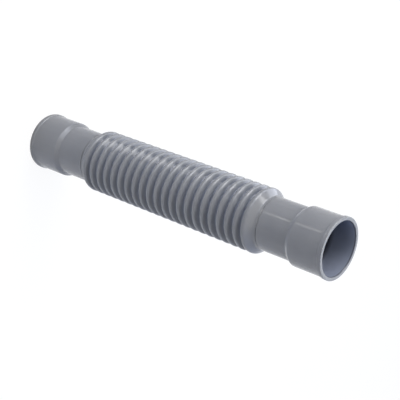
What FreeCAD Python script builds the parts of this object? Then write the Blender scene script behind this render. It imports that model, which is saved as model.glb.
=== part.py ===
"""Flexible waste connector: one blow-moulded grey plastic tube with a socket at each end.

A socket takes the plain end of a waste pipe, which is glued in up to a stop. Behind each socket the
tube narrows to a neck, and between the necks it is a bellows of rings, which lets the run bend.
The connector stands on its lower socket: its axis is Z, and the origin is the centre of the lower
mouth. Its two halves are alike, so it can be fitted either way up.
"""
import FreeCAD, Part
import os

import Sketcher

# Driving dimensions in millimetres. Both ends are alike, so each is written once.
SIZES = {
    "pipe_diameter": 40.0,  # outside of the waste pipe that both sockets take, and of the necks
    "socket_clearance": 0.2,  # room for the cement, on the diameter
    "socket_depth": 26.0,  # from the mouth to the stop
    "socket_wall": 2.1,
    "mouth_chamfer": 0.4,  # lead-in for the pipe
    "lip_proud": 0.8,  # how far the rim band stands out from the socket
    "lip_width": 3.2,
    "lip_taper": 3.0,  # from the rim band back to the socket
    "stop_cover": 1.5,  # how far the socket's outside runs on past the stop
    "shoulder_length": 5.0,
    "shoulder_round": 1.5,
    "neck_wall": 2.0,
    "neck_length": 26.5,
    "ring_height": 4.55,  # from the neck to the crest of a ring
    "ring_count": 22,
    "ring_pitch": 7.52,
    "crest_width": 2.68,
    "groove_depth": 2.38,
    "bellows_wall": 1.6,  # under a groove
    "end_rise": 4.6,  # length of the cone between a neck and the ring next to it
    "bore_setback": 1.5,  # how far a neck's bore runs on inside that cone
    "bore_taper": 1.2,  # length of the cone from there to the wider bore of the bellows
}

document = FreeCAD.newDocument("FlexibleWasteConnector")
sheet = document.addObject("Spreadsheet::Sheet", "dims")
for row, (name, size) in enumerate(SIZES.items(), start=1):
    sheet.set(f"A{row}", name.replace("_", " "))
    sheet.set(f"B{row}", str(size))
    sheet.setAlias(f"B{row}", name)
document.recompute()

# Radii, as formulas on the sheet
SOCKET_BORE = "(dims.pipe_diameter + dims.socket_clearance) / 2"
SOCKET = f"{SOCKET_BORE} + dims.socket_wall"
LIP = f"{SOCKET} + dims.lip_proud"
NECK = "dims.pipe_diameter / 2"
NECK_BORE = f"{NECK} - dims.neck_wall"
RING = f"{NECK} + dims.ring_height"
GROOVE_BOTTOM = f"{RING} - dims.groove_depth"
BELLOWS_BORE = f"{GROOVE_BOTTOM} - dims.bellows_wall"

# Heights above the lower mouth, from the bottom up
LIP_BACK = "dims.lip_width + dims.lip_taper"
STOP = "dims.socket_depth"
SHOULDER = f"{STOP} + dims.stop_cover"
NECK_FOOT = f"{SHOULDER} + dims.shoulder_length"
BELLOWS_FOOT = f"{NECK_FOOT} + dims.neck_length"
FIRST_RING = f"{BELLOWS_FOOT} + dims.end_rise"
FIRST_GROOVE = f"{FIRST_RING} + (dims.ring_pitch + dims.crest_width) / 2"
HALF_GROOVE = "(dims.ring_pitch - dims.crest_width) / 2"
GROOVE_SPAN = "(dims.ring_count - 2) * dims.ring_pitch"
OVERALL = f"2 * ({FIRST_RING}) + (dims.ring_count - 1) * dims.ring_pitch + dims.crest_width"


def from_top(height):
    """The same height measured down from the upper mouth."""
    return f"{OVERALL} - ({height})"


def half_section(body, name, corners):
    """A closed sketch beside the axis, whose corners are (radius, height) formulas, or None for zero."""
    sketch = body.newObject("Sketcher::SketchObject", name)
    plane = next(f for f in body.Origin.OriginFeatures if f.Role == "XZ_Plane")
    sketch.AttachmentSupport = [(plane, "")]
    sketch.MapMode = "FlatFace"
    points = [
        FreeCAD.Vector(*[sheet.evalExpression(f) if f else 0.0 for f in corner]) for corner in corners
    ]
    for start, end in zip(points, points[1:] + points[:1]):
        sketch.addGeometry(Part.LineSegment(start, end))
    for line in range(len(points)):
        before = (line - 1) % len(points)
        sketch.addConstraint(Sketcher.Constraint("Coincident", before, 2, line, 1))
    for line, (corner, point) in enumerate(zip(corners, points)):
        for kind, axis, formula, size in (
            ("DistanceX", -2, corner[0], point.x),
            ("DistanceY", -1, corner[1], point.y),
        ):
            if formula is None:
                sketch.addConstraint(Sketcher.Constraint("PointOnObject", line, 1, axis))
                continue
            index = sketch.addConstraint(Sketcher.Constraint(kind, -1, 1, line, 1, size))
            sketch.setExpression(f"Constraints[{index}]", formula)
    document.recompute()
    return sketch


def turned(body, kind, name, sketch):
    """A revolved feature of the whole turn about the sketch's upright axis."""
    feature = body.newObject(f"PartDesign::{kind}", name)
    feature.Profile = sketch
    feature.ReferenceAxis = (sketch, ["V_Axis"])
    feature.Angle = 360.0
    document.recompute()
    return feature


def circles(shape, radius, heights):
    """Names of the round edges of this radius at these heights."""
    found = []
    for number, edge in enumerate(shape.Edges, start=1):
        if not isinstance(edge.Curve, Part.Circle) or abs(edge.Curve.Radius - radius) > 1e-4:
            continue
        if any(abs(edge.Curve.Center.z - height) < 1e-4 for height in heights):
            found.append(f"Edge{number}")
    return found


connector = document.addObject("PartDesign::Body", "FlexibleConnector")
connector.Label = "flexible_connector"

# Outside: socket with its rim band, shoulder, neck, rise to a plain barrel, and the same again
lower_outside = [
    (LIP, "dims.lip_width"),
    (SOCKET, LIP_BACK),
    (SOCKET, SHOULDER),
    (NECK, NECK_FOOT),
    (NECK, BELLOWS_FOOT),
    (RING, FIRST_RING),
]
upper_outside = [(radius, from_top(height)) for radius, height in reversed(lower_outside)]
outside = half_section(
    connector,
    "OutsideSection",
    [(None, None), (LIP, None)] + lower_outside + upper_outside + [(LIP, OVERALL), (None, OVERALL)],
)
barrel = turned(connector, "Revolution", "Barrel", outside)

# Waterway: chamfered mouth, socket up to its stop, neck bore, wider bore under the grooves
lower_bore = [
    (f"{SOCKET_BORE} + dims.mouth_chamfer", None),
    (SOCKET_BORE, "dims.mouth_chamfer"),
    (SOCKET_BORE, STOP),
    (NECK_BORE, STOP),
    (NECK_BORE, f"{BELLOWS_FOOT} + dims.bore_setback"),
    (BELLOWS_BORE, f"{BELLOWS_FOOT} + dims.bore_setback + dims.bore_taper"),
]
upper_bore = [
    (radius, from_top(height) if height else OVERALL) for radius, height in reversed(lower_bore)
]
waterway = half_section(
    connector, "WaterwaySection", [(None, None)] + lower_bore + upper_bore + [(None, OVERALL)]
)
bored = turned(connector, "Groove", "Waterway", waterway)

# Bellows: one groove round the barrel, repeated up its length, leaves the rings between
groove_section = half_section(
    connector,
    "GrooveSection",
    [
        (GROOVE_BOTTOM, FIRST_GROOVE),
        (RING, f"{FIRST_GROOVE} - {HALF_GROOVE}"),
        (f"{RING} + dims.groove_depth", f"{FIRST_GROOVE} - {HALF_GROOVE}"),
        (f"{RING} + dims.groove_depth", f"{FIRST_GROOVE} + {HALF_GROOVE}"),
        (RING, f"{FIRST_GROOVE} + {HALF_GROOVE}"),
    ],
)
first_groove = turned(connector, "Groove", "FirstGroove", groove_section)
volume_with_one = first_groove.Shape.Volume
grooves = connector.newObject("PartDesign::LinearPattern", "Grooves")
grooves.Originals = [first_groove]
grooves.Direction = (next(f for f in connector.Origin.OriginFeatures if f.Role == "Z_Axis"), [""])
grooves.setExpression("Length", GROOVE_SPAN)
grooves.setExpression("Occurrences", "dims.ring_count - 1")
connector.Tip = grooves
document.recompute()

# The shoulders' crests are rounded
shoulders = connector.newObject("PartDesign::Fillet", "ShoulderRounds")
shoulder_heights = [sheet.evalExpression(SHOULDER), sheet.evalExpression(from_top(SHOULDER))]
shoulders.Base = (grooves, circles(grooves.Shape, sheet.evalExpression(SOCKET), shoulder_heights))
shoulders.setExpression("Radius", "dims.shoulder_round")
connector.Tip = shoulders
document.recompute()

for item in document.Objects:
    if "Invalid" in item.State or "Error" in item.State:
        raise RuntimeError(f"{item.Label} failed: {item.State}")
if grooves.Shape.Volume >= volume_with_one:
    raise RuntimeError("the grooves were not repeated")
shape = connector.Shape
if shape.isNull() or not shape.isValid() or len(shape.Solids) != 1:
    raise RuntimeError("the connector is not one sound solid")

os.makedirs("parts", exist_ok=True)
shape.exportStep(f"parts/{connector.Label}.step")
box = shape.BoundBox
print(f"{connector.Label}: {box.XLength:.2f} x {box.YLength:.2f} x {box.ZLength:.2f} mm,")
print(f"{shape.Volume / 1000:.1f} cm3, {len(shape.Faces)} faces")
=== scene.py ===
import math

import bmesh
import bpy
from mathutils import Matrix, Vector


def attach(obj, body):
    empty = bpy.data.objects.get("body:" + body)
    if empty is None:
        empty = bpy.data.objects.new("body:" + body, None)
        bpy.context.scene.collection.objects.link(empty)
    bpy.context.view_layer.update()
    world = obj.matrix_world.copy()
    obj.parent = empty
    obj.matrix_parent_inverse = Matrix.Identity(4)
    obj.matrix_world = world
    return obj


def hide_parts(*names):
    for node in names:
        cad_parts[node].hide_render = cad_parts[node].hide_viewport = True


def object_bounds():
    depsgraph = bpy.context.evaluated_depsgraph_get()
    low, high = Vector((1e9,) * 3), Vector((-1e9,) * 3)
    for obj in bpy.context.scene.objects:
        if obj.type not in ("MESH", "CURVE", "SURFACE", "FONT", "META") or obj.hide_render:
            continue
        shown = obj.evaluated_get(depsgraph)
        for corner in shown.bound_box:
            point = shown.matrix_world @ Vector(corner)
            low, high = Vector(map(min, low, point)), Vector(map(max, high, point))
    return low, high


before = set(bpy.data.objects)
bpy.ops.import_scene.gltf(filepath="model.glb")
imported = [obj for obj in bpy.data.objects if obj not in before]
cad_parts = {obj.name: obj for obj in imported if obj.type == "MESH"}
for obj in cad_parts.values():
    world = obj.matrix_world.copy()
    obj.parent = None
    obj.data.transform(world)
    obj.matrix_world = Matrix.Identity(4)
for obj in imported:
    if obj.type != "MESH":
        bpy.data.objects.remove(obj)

cad_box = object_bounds()

# The moulding is one blow-moulded tube of grey PVC: a socket with a rim band at each end, a
# shoulder, a neck, and a bellows of rings between the necks. The wall follows the rings inside
# as well, as in the real bellows, which bends. Both halves are alike, and sizes are in
# millimetres.
MM = 0.001
HAIR = 0.001  # keeps the moulding within the solid's box
LENGTH = (cad_box[1].z - cad_box[0].z) / MM - HAIR
RING = cad_box[1].x / MM - HAIR
SOCKET_BORE = 20.1
SOCKET_DEPTH = 26.0
LEAD_IN = 0.5
LIP = 23.0
LIP_WIDTH = 3.0
LIP_STEP = 0.62  # from the rim band down to the notch behind it
NOTCH_SLOPE = 0.6
NOTCH_LENGTH = 1.2
NOTCH_RISE = 0.12
SOCKET = 22.2
SOCKET_START = 6.2
SHOULDER = 27.9
NECK = 20.0
NECK_BORE = 18.0
NECK_FOOT = 31.3
NECK_DIP = 0.1  # the neck is this much thinner at the foot of the shoulder
NECK_DIP_LENGTH = 0.8
WITNESS = 56.7  # the fine line that the mould's insert leaves round the neck
WITNESS_DEPTH = 0.4
WITNESS_HALF = 0.34
BELLOWS_FOOT = 59.0
BORE_SETBACK = 1.0
FIRST_RING = 63.6
RING_COUNT = 22
RING_PITCH = 7.52
CREST_WIDTH = 2.68
FLANK = math.radians(50)
CREST_ROUND = 2.3
ROOT_ROUND = 0.5
END_ROUND = 0.45  # the outer rings' corners turn less, so they take this share of the rounding
WALL = 1.5
INNER_CREST_ROUND = 0.7
TURN_STEPS = 128
MERGE_DISTANCE = 1e-4
SHARP_FROM = math.radians(38)


def bellows(crest, crest_round, root_round, crest_steps, root_steps):
    """Corners from the first ring to the last: rounded crests with rounded roots between them."""
    slope = math.tan(FLANK)
    # A rounded corner's arc stays below its corner, so the corners stand higher than the crests.
    peak = crest + (2 - math.sqrt(2)) * crest_round * slope * math.sin(FLANK)
    root = peak - RING_PITCH / 2 * slope
    first = FIRST_RING + CREST_WIDTH / 2
    outer = (END_ROUND * crest_round, crest_steps)
    run = [(crest, FIRST_RING, outer), (crest, FIRST_RING + CREST_WIDTH, outer)]
    for ring in range(RING_COUNT - 1):
        run.append((root, first + (ring + 0.5) * RING_PITCH, (root_round * slope, root_steps)))
        if ring < RING_COUNT - 2:
            run.append((peak, first + (ring + 1) * RING_PITCH, (crest_round * slope, crest_steps)))
    run.append((crest, LENGTH - FIRST_RING - CREST_WIDTH, outer))
    run.append((crest, LENGTH - FIRST_RING, outer))
    return run


def both_ends(half, middle):
    """The corners of one half, the middle, and the same half upside down."""
    other_half = [(radius, LENGTH - height, rounding) for radius, height, rounding in half]
    return half + middle + other_half[::-1]


# Each corner of the section is a radius, a height and its rounding: a reach and its segments.
outside = both_ends(
    [
        (SOCKET_BORE + LEAD_IN, 0.0, (0.12, 1)),
        (LIP, 0.0, (0.5, 4)),
        (LIP, LIP_WIDTH, (0.45, 4)),
        (LIP - LIP_STEP, LIP_WIDTH + NOTCH_SLOPE, (0.12, 2)),
        (LIP - LIP_STEP + NOTCH_RISE, LIP_WIDTH + NOTCH_LENGTH, (0.3, 2)),
        (SOCKET, SOCKET_START, (0.9, 3)),
        (SOCKET, SHOULDER, (0.6, 4)),
        (NECK - NECK_DIP, NECK_FOOT, (0.25, 2)),
        (NECK, NECK_FOOT + NECK_DIP_LENGTH, (0.3, 2)),
        (NECK, WITNESS - WITNESS_HALF, None),
        (NECK - WITNESS_DEPTH, WITNESS, None),
        (NECK, WITNESS + WITNESS_HALF, None),
        (NECK, BELLOWS_FOOT, (0.6, 3)),
    ],
    bellows(RING, CREST_ROUND, ROOT_ROUND, crest_steps=10, root_steps=6),
)
inside = both_ends(
    [
        (SOCKET_BORE, LEAD_IN, (0.15, 1)),
        (SOCKET_BORE, SOCKET_DEPTH, None),
        (NECK_BORE, SOCKET_DEPTH, (0.4, 2)),
        (NECK_BORE, BELLOWS_FOOT + BORE_SETBACK, (0.9, 3)),
    ],
    bellows(RING - WALL, INNER_CREST_ROUND, ROOT_ROUND + WALL, crest_steps=2, root_steps=4),
)
section = bmesh.new()
corners = outside + inside[::-1]
verts = [section.verts.new((radius, 0.0, height)) for radius, height, rounding in corners]
for start, end in zip(verts, verts[1:] + verts[:1]):
    section.edges.new((start, end))
roundings = {}
for vert, (radius, height, rounding) in zip(verts, corners):
    if rounding:
        roundings.setdefault(rounding, []).append(vert)
for (reach, segments), group in roundings.items():
    bmesh.ops.bevel(
        section, geom=group, offset=reach, offset_type="OFFSET", affect="VERTICES",
        segments=segments, profile=0.5, material=-1,
    )
bmesh.ops.spin(
    section, geom=section.verts[:] + section.edges[:], cent=(0, 0, 0), axis=(0, 0, 1),
    dvec=(0, 0, 0), angle=math.tau, steps=TURN_STEPS, use_merge=True, use_duplicate=False,
)
bmesh.ops.remove_doubles(section, verts=section.verts[:], dist=MERGE_DISTANCE)
bmesh.ops.recalc_face_normals(section, faces=section.faces[:])
bmesh.ops.transform(section, matrix=Matrix.Scale(MM, 4), verts=section.verts[:])
mesh = bpy.data.meshes.new("moulding")
section.to_mesh(mesh)
section.free()
mesh.shade_smooth()
mesh.set_sharp_from_angle(angle=SHARP_FROM)
connector = bpy.data.objects.new("moulding", mesh)
bpy.context.scene.collection.objects.link(connector)


# The looks of the plastic are three effects, made of the steps below and joined in its material.
def effect(name, **results):
    """An empty effect that reads the place on the piece, with the kind of each of its results."""
    tree = bpy.data.node_groups.new(name, "ShaderNodeTree")
    tree.interface.new_socket("Place", in_out="INPUT", socket_type="NodeSocketVector")
    for result, kind in results.items():
        tree.interface.new_socket(result, in_out="OUTPUT", socket_type="NodeSocket" + kind)
    place = tree.nodes.new("NodeGroupInput").outputs["Place"]
    return tree, place, tree.nodes.new("NodeGroupOutput").inputs


def feed(tree, socket, source):
    """Give a socket another socket's value, a number or a colour."""
    if isinstance(source, bpy.types.NodeSocket):
        tree.links.new(source, socket)
    else:
        socket.default_value = (*source, 1) if isinstance(source, tuple) else source


def number(tree, operation, *sources):
    """The result of one step of arithmetic."""
    node = tree.nodes.new("ShaderNodeMath")
    node.operation = operation
    for socket, source in zip(node.inputs, sources):
        feed(tree, socket, source)
    return node.outputs["Value"]


def scaled(tree, place, factors):
    """The place, stretched along each axis."""
    node = tree.nodes.new("ShaderNodeVectorMath")
    node.operation = "MULTIPLY"
    node.inputs[1].default_value = factors
    tree.links.new(place, node.inputs[0])
    return node.outputs["Vector"]


def noise(tree, place, scale, detail):
    """Soft spots, as a number from 0 to 1."""
    node = tree.nodes.new("ShaderNodeTexNoise")
    node.inputs["Scale"].default_value = scale
    node.inputs["Detail"].default_value = detail
    tree.links.new(place, node.inputs["Vector"])
    return node.outputs["Fac"]


def fade(tree, source, start, end, at_start=0.0, at_end=1.0, way="LINEAR"):
    """A number that runs from at_start to at_end while the source runs from start to end."""
    node = tree.nodes.new("ShaderNodeMapRange")
    node.interpolation_type = way
    node.inputs["From Min"].default_value = start
    node.inputs["From Max"].default_value = end
    node.inputs["To Min"].default_value = at_start
    node.inputs["To Max"].default_value = at_end
    tree.links.new(source, node.inputs["Value"])
    return node.outputs["Result"]


def painted(tree, share, under, over):
    """The colour under, covered by the colour over where the share is 1."""
    node = tree.nodes.new("ShaderNodeMix")
    node.data_type = "RGBA"
    # These are the sockets of the share and of the two colours.
    for socket, source in ((0, share), (6, under), (7, over)):
        feed(tree, node.inputs[socket], source)
    return node.outputs[2]


def radius_and_reach(tree, place):
    """The distance from the tube's axis, and the distance along it from the tube's middle."""
    radius = tree.nodes.new("ShaderNodeVectorMath")
    radius.operation = "LENGTH"
    tree.links.new(scaled(tree, place, (1, 1, 0)), radius.inputs[0])
    parts = tree.nodes.new("ShaderNodeSeparateXYZ")
    tree.links.new(place, parts.inputs["Vector"])
    from_middle = number(tree, "SUBTRACT", parts.outputs["Z"], LENGTH * MM / 2)
    return radius.outputs["Value"], number(tree, "ABSOLUTE", from_middle)


def from_mouth(depth):
    """The reach, in metres, of a place that lies this many millimetres inside either mouth."""
    return (LENGTH / 2 - depth) * MM


# Moulded tone: the grey of the compound, clouded a little by uneven mixing and a shade darker in
# faint flow bands along the tube. On it lies painted light and shade: the bores are painted bluer
# for the blue sky light inside, with painted shade from a little before the stop, and the grooves
# of the bellows are painted slightly darker and bluer as shade.
DARK_GREY = (0.153, 0.157, 0.169)
DARK_AT = 0.45
PALE_GREY = (0.169, 0.172, 0.182)
PALE_AT = 0.95
FLOW_LENGTH = 0.06
FLOW_SHARE = 0.4
# Painted light and shade in the bore: a blue tint for the sky light inside it, and near-black
# where it lies in deep shade.
SHADED_BORE = (0.045, 0.049, 0.062)
LIT_BORE = (0.155, 0.171, 0.218)
LIT_DEPTH = 17.5
DARK_DEPTH = 21.0
NECK_MID_WALL = NECK - 0.9
SOCKET_MID_WALL = SOCKET - 1.0
# Painted shade in the grooves of the bellows.
GROOVE_SHADE = (0.126, 0.139, 0.174)
GROOVE_FLOOR = 21.8
GROOVE_TOP = 24.3
tone, place, results = effect("moulded tone and painted shade", Color="Color")
clouds = noise(tone, place, scale=55.0, detail=3.0)
flow = noise(tone, scaled(tone, place, (1, 1, FLOW_LENGTH)), scale=260.0, detail=2.0)
greys = tone.nodes.new("ShaderNodeValToRGB")
dark, pale = greys.color_ramp.elements
dark.position, dark.color = DARK_AT, (*DARK_GREY, 1)
pale.position, pale.color = PALE_AT, (*PALE_GREY, 1)
tone.links.new(number(tone, "MULTIPLY_ADD", flow, FLOW_SHARE, clouds), greys.inputs["Fac"])
radius, reach = radius_and_reach(tone, place)
mid_wall = fade(
    tone, reach, from_mouth(SHOULDER), from_mouth(SOCKET_DEPTH),
    at_start=NECK_MID_WALL * MM, at_end=SOCKET_MID_WALL * MM,
)
# The bore is painted as lit near the mouth and as in shade from a little before the stop.
lit = fade(tone, reach, from_mouth(DARK_DEPTH), from_mouth(LIT_DEPTH))
painted_bore_light = painted(tone, lit, SHADED_BORE, LIT_BORE)
in_bore = number(tone, "LESS_THAN", radius, mid_wall)
skin_or_bore = painted(tone, in_bore, greys.outputs["Color"], painted_bore_light)
# Painted shade: darker and bluer towards the bottom of the grooves.
low = fade(tone, radius, GROOVE_FLOOR * MM, GROOVE_TOP * MM, at_start=1.0, at_end=0.0)
in_bellows = number(tone, "LESS_THAN", reach, from_mouth(FIRST_RING))
groove_shade = number(tone, "MULTIPLY", low, in_bellows)
tone.links.new(painted(tone, groove_shade, skin_or_bore, GROOVE_SHADE), results["Color"])

# Saw cut: the rims are sawn square, which leaves them dull, with fine slanting saw marks. Just
# inside, a thin dark ring on the lead-in is painted shade under the rim. Each mask lies close to
# either end.
CUT_DEPTH = 0.35
CUT_FADE = 0.25
SAW_TURN = math.radians(35)
LEAD_IN_SHADE_DEPTH = 1.1
LEAD_IN_SHADE_FADE = 0.3
LEAD_IN_SHADE_EDGE = 0.06
cut, place, results = effect("saw cut", Mask="Float", Marks="Float", Scraped="Float")
radius, reach = radius_and_reach(cut, place)
at_end = fade(cut, reach, from_mouth(CUT_DEPTH), from_mouth(CUT_DEPTH - CUT_FADE))
cut.links.new(at_end, results["Mask"])
across = cut.nodes.new("ShaderNodeMapping")
across.inputs["Rotation"].default_value = (0, 0, SAW_TURN)
across.inputs["Scale"].default_value = (1, 1, 0)
cut.links.new(place, across.inputs["Vector"])
teeth = cut.nodes.new("ShaderNodeTexWave")
teeth.bands_direction = "X"
teeth.inputs["Scale"].default_value = 270.0
teeth.inputs["Distortion"].default_value = 1.2
teeth.inputs["Detail"].default_value = 2.0
cut.links.new(across.outputs["Vector"], teeth.inputs["Vector"])
cut.links.new(teeth.outputs["Fac"], results["Marks"])
within = fade(
    cut, radius, (SOCKET_BORE + LEAD_IN - LEAD_IN_SHADE_EDGE) * MM,
    (SOCKET_BORE + LEAD_IN + LEAD_IN_SHADE_EDGE) * MM, at_start=1.0, at_end=0.0,
)
near_end = fade(cut, reach, from_mouth(LEAD_IN_SHADE_DEPTH), from_mouth(LEAD_IN_SHADE_DEPTH - LEAD_IN_SHADE_FADE))
cut.links.new(number(cut, "MULTIPLY", within, near_end), results["Scraped"])

# Mould finish: the gloss of the blown skin wanders a little, the skin is slightly uneven and
# finely drawn along the tube, and the split mould leaves a faint parting line down two sides.
GLOSSIEST = 0.15
DULLEST = 0.21
HAZE_START = 0.3
HAZE_END = 0.7
PARTING_TURN = math.radians(35)
PARTING_HALF = 0.25
PARTING_HEIGHT = 0.6
DRAWN_LENGTH = 0.12
DRAWN_HEIGHT = 0.5
UNEVEN_HEIGHT = 0.12
finish, place, results = effect("mould finish", Roughness="Float", Height="Float")
haze = noise(finish, place, scale=120.0, detail=4.0)
gloss = fade(finish, haze, HAZE_START, HAZE_END, at_start=GLOSSIEST, at_end=DULLEST)
finish.links.new(gloss, results["Roughness"])
turned = finish.nodes.new("ShaderNodeMapping")
turned.inputs["Rotation"].default_value = (0, 0, PARTING_TURN)
finish.links.new(place, turned.inputs["Vector"])
parts = finish.nodes.new("ShaderNodeSeparateXYZ")
finish.links.new(turned.outputs["Vector"], parts.inputs["Vector"])
aside = number(finish, "ABSOLUTE", parts.outputs["Y"])
parting_line = fade(
    finish, aside, 0.0, PARTING_HALF * MM, at_start=PARTING_HEIGHT, at_end=0.0, way="SMOOTHSTEP"
)
drawn = noise(finish, scaled(finish, place, (1, 1, DRAWN_LENGTH)), scale=1500.0, detail=1.0)
lines = number(finish, "MULTIPLY_ADD", drawn, DRAWN_HEIGHT, parting_line)
uneven = noise(finish, place, scale=420.0, detail=2.0)
height = number(finish, "MULTIPLY_ADD", uneven, UNEVEN_HEIGHT, lines)
finish.links.new(height, results["Height"])

# Grey PVC: one compound right through the wall. The moulded skin has a soft gloss, and the sawn
# rims are the same plastic, dull, with each saw mark darker or paler than the skin.
SKIN_SHINE = 0.29
SAW_SHADOW = (0.095, 0.094, 0.092)
SAW_RIDGE = (0.235, 0.231, 0.220)
# the colour of the painted shade just inside each rim
LEAD_IN_SHADE = (0.045, 0.048, 0.058)
CUT_ROUGHNESS = 0.5
SKIN_RELIEF = 0.06
SAW_RELIEF = 0.1
pvc = bpy.data.materials.new("grey_pvc")
pvc.use_nodes = True
plastic = pvc.node_tree
surface = plastic.nodes["Principled BSDF"].inputs
surface["Specular IOR Level"].default_value = SKIN_SHINE
on_piece = plastic.nodes.new("ShaderNodeTexCoord").outputs["Object"]
results = {}
for group in (tone, cut, finish):
    used = plastic.nodes.new("ShaderNodeGroup")
    used.node_tree = group
    plastic.links.new(on_piece, used.inputs["Place"])
    results.update(used.outputs.items())
sawn = painted(plastic, results["Marks"], SAW_SHADOW, SAW_RIDGE)
skin_or_cut = painted(plastic, results["Mask"], results["Color"], sawn)
# Painted shade: a thin dark ring on the lead-in just inside each rim.
lead_in_shaded = painted(plastic, results["Scraped"], skin_or_cut, LEAD_IN_SHADE)
plastic.links.new(lead_in_shaded, surface["Base Color"])
dull = plastic.nodes.new("ShaderNodeMix")
dull.inputs[3].default_value = CUT_ROUGHNESS
plastic.links.new(results["Mask"], dull.inputs[0])
plastic.links.new(results["Roughness"], dull.inputs[2])
plastic.links.new(dull.outputs[0], surface["Roughness"])
skin_relief = plastic.nodes.new("ShaderNodeBump")
skin_relief.inputs["Distance"].default_value = SKIN_RELIEF * MM
skin_relief.inputs["Strength"].default_value = 0.5
plastic.links.new(results["Height"], skin_relief.inputs["Height"])
saw_relief = plastic.nodes.new("ShaderNodeBump")
saw_relief.inputs["Distance"].default_value = SAW_RELIEF * MM
saw_relief.inputs["Strength"].default_value = 0.8
saw_height = number(plastic, "MULTIPLY", results["Mask"], results["Marks"])
plastic.links.new(saw_height, saw_relief.inputs["Height"])
plastic.links.new(skin_relief.outputs["Normal"], saw_relief.inputs["Normal"])
plastic.links.new(saw_relief.outputs["Normal"], surface["Normal"])
mesh.materials.append(pvc)
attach(connector, "root")
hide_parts("flexible_connector")

# The studio floor is plain white card. It shows white to the camera and in reflections, with a
# little of its own shading, so that the connector's soft shadow stays on it.
FLOOR_HALF = 6.0
CARD_WHITE = (0.66, 0.66, 0.66)
WHITE_SHARE = 0.91


def seen_or_mirrored(tree):
    """1 for a ray from the camera, straight, through glass or mirrored, and 0 for other rays."""
    path = tree.nodes.new("ShaderNodeLightPath").outputs
    straight = number(tree, "MAXIMUM", path["Is Camera Ray"], path["Is Transmission Ray"])
    return number(tree, "MAXIMUM", straight, path["Is Glossy Ray"])


sheet = bmesh.new()
bmesh.ops.create_grid(sheet, x_segments=1, y_segments=1, size=FLOOR_HALF)
floor_mesh = bpy.data.meshes.new("floor")
sheet.to_mesh(floor_mesh)
sheet.free()
floor = bpy.data.objects.new("floor", floor_mesh)
bpy.context.scene.collection.objects.link(floor)
card = bpy.data.materials.new("white_card")
card.use_nodes = True
paper = card.node_tree
shading = paper.nodes["Principled BSDF"]
shading.inputs["Base Color"].default_value = (*CARD_WHITE, 1)
shading.inputs["Roughness"].default_value = 0.9
shading.inputs["Specular IOR Level"].default_value = 0.0
glow = paper.nodes.new("ShaderNodeEmission")
blend = paper.nodes.new("ShaderNodeMixShader")
share = number(paper, "MULTIPLY", seen_or_mirrored(paper), WHITE_SHARE)
paper.links.new(share, blend.inputs["Fac"])
paper.links.new(shading.outputs[0], blend.inputs[1])
paper.links.new(glow.outputs[0], blend.inputs[2])
paper.links.new(blend.outputs[0], paper.nodes["Material Output"].inputs["Surface"])
floor_mesh.materials.append(card)

# The world lights the studio with a dim, slightly blue sky. The camera and the reflections see
# it white, so that a glossy surface shows the same white studio as the picture does.
SKY_COLOUR = (0.8, 0.92, 1.28)
SKY_STRENGTH = 0.06
world = bpy.data.worlds.new("studio")
bpy.context.scene.world = world
world.use_nodes = True
sky = world.node_tree
light = sky.nodes["Background"]
light.inputs["Color"].default_value = (*SKY_COLOUR, 1)
light.inputs["Strength"].default_value = SKY_STRENGTH
backdrop = sky.nodes.new("ShaderNodeBackground")
backdrop.inputs["Color"].default_value = (1, 1, 1, 1)
either = sky.nodes.new("ShaderNodeMixShader")
sky.links.new(seen_or_mirrored(sky), either.inputs["Fac"])
sky.links.new(light.outputs["Background"], either.inputs[1])
sky.links.new(backdrop.outputs["Background"], either.inputs[2])
sky.links.new(either.outputs["Shader"], sky.nodes["World Output"].inputs["Surface"])

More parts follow.
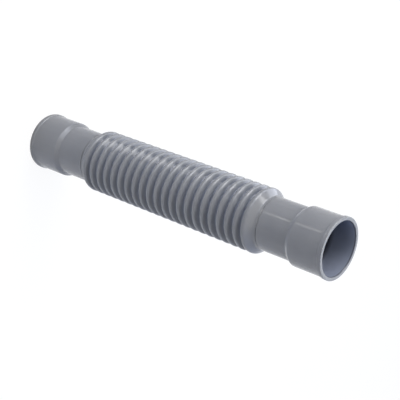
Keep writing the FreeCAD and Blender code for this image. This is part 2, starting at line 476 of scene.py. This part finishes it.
# The lamps are soft boxes: a key from above, a tall window at the left, a blue top light and a
# fill at the right that leave no highlight, two panels at the left that only show in
# reflections, and a thin strip low down whose reflection runs along the sockets and necks.
FOOT = (0, 0, 0)  # the lamps are aimed at these places on the tube's axis
BODY = (0, 0, 0.15)
UPPER_BODY = (0, 0, 0.18)
PLAIN = (1, 1, 1)
SUNNY = (1.0, 1.0, 0.97)
BLUE = (0.7, 0.9, 1.4)
PALE_BLUE = (0.92, 0.97, 1.1)
WARM = (1, 0.97, 0.9)
STRIP_TURN = (math.pi, 0, math.radians(-34))  # it lies flat and shines upwards
NO_HIGHLIGHT = ("top", "right")
ONLY_HIGHLIGHT = ("panel", "front_panel")
for name, place, target, (wide, long), watts, colour in (
    ("key", (-0.45, -0.2, 2.3), BODY, (1.2, 1.2), 58.0, SUNNY),
    ("window", (-1.14, -0.40, 0.70), UPPER_BODY, (0.6, 0.8), 15.0, PLAIN),
    ("top", (0.1, 0.4, 1.7), FOOT, (0.9, 0.9), 22.0, BLUE),
    ("right", (1.35, -0.95, 0.35), BODY, (1.6, 0.6), 11.0, PLAIN),
    ("panel", (-1.3, 0.25, 0.42), UPPER_BODY, (2.4, 0.64), 20.0, PALE_BLUE),
    ("front_panel", (-0.95, -0.95, 0.42), UPPER_BODY, (1.0, 0.64), 9.0, PALE_BLUE),
    ("neck_strip", (-0.254, -0.387, 0.004), None, (0.010, 0.17), 0.14, WARM),
):
    lamp = bpy.data.lights.new(name, "AREA")
    lamp.shape = "RECTANGLE"
    lamp.size, lamp.size_y = wide, long
    lamp.energy = watts
    lamp.color = colour
    stand = bpy.data.objects.new(name, lamp)
    bpy.context.scene.collection.objects.link(stand)
    stand.location = place
    if target:
        aim = Vector(target) - Vector(place)
        stand.rotation_euler = aim.to_track_quat("-Z", "Y").to_euler()
    else:
        stand.rotation_euler = STRIP_TURN
    stand.visible_camera = False
    stand.visible_glossy = name not in NO_HIGHLIGHT
    stand.visible_diffuse = name not in ONLY_HIGHLIGHT

# The camera looks down on the connector from the side and is rolled, so that the upright tube
# lies across the picture from its far, lower socket at the top left to its near mouth at the
# right.
CAMERA_BACK = 0.6415
CAMERA_UP = 0.6270
CAMERA_PAN = 0.0034
CAMERA_TILT = -0.6245
CAMERA_ROLL = 1.9314
FOCAL_PIXELS = 1065.2
PICTURE_PIXELS = 400
camera_data = bpy.data.cameras.new("camera")
camera_data.lens = FOCAL_PIXELS * camera_data.sensor_width / PICTURE_PIXELS
camera = bpy.data.objects.new("camera", camera_data)
bpy.context.scene.collection.objects.link(camera)
level = Vector((math.cos(CAMERA_PAN), -math.sin(CAMERA_PAN), 0.0))
forward = Vector((
    math.sin(CAMERA_PAN) * math.cos(CAMERA_TILT),
    math.cos(CAMERA_PAN) * math.cos(CAMERA_TILT),
    math.sin(CAMERA_TILT),
))
upright = level.cross(forward)
right = level * math.cos(CAMERA_ROLL) + upright * math.sin(CAMERA_ROLL)
up = upright * math.cos(CAMERA_ROLL) - level * math.sin(CAMERA_ROLL)
turn = Matrix((right, up, -forward)).transposed().to_4x4()
camera.matrix_world = Matrix.Translation((0.0, -CAMERA_BACK, CAMERA_UP)) @ turn
bpy.context.scene.camera = camera
bpy.context.scene.view_settings.view_transform = "Standard"
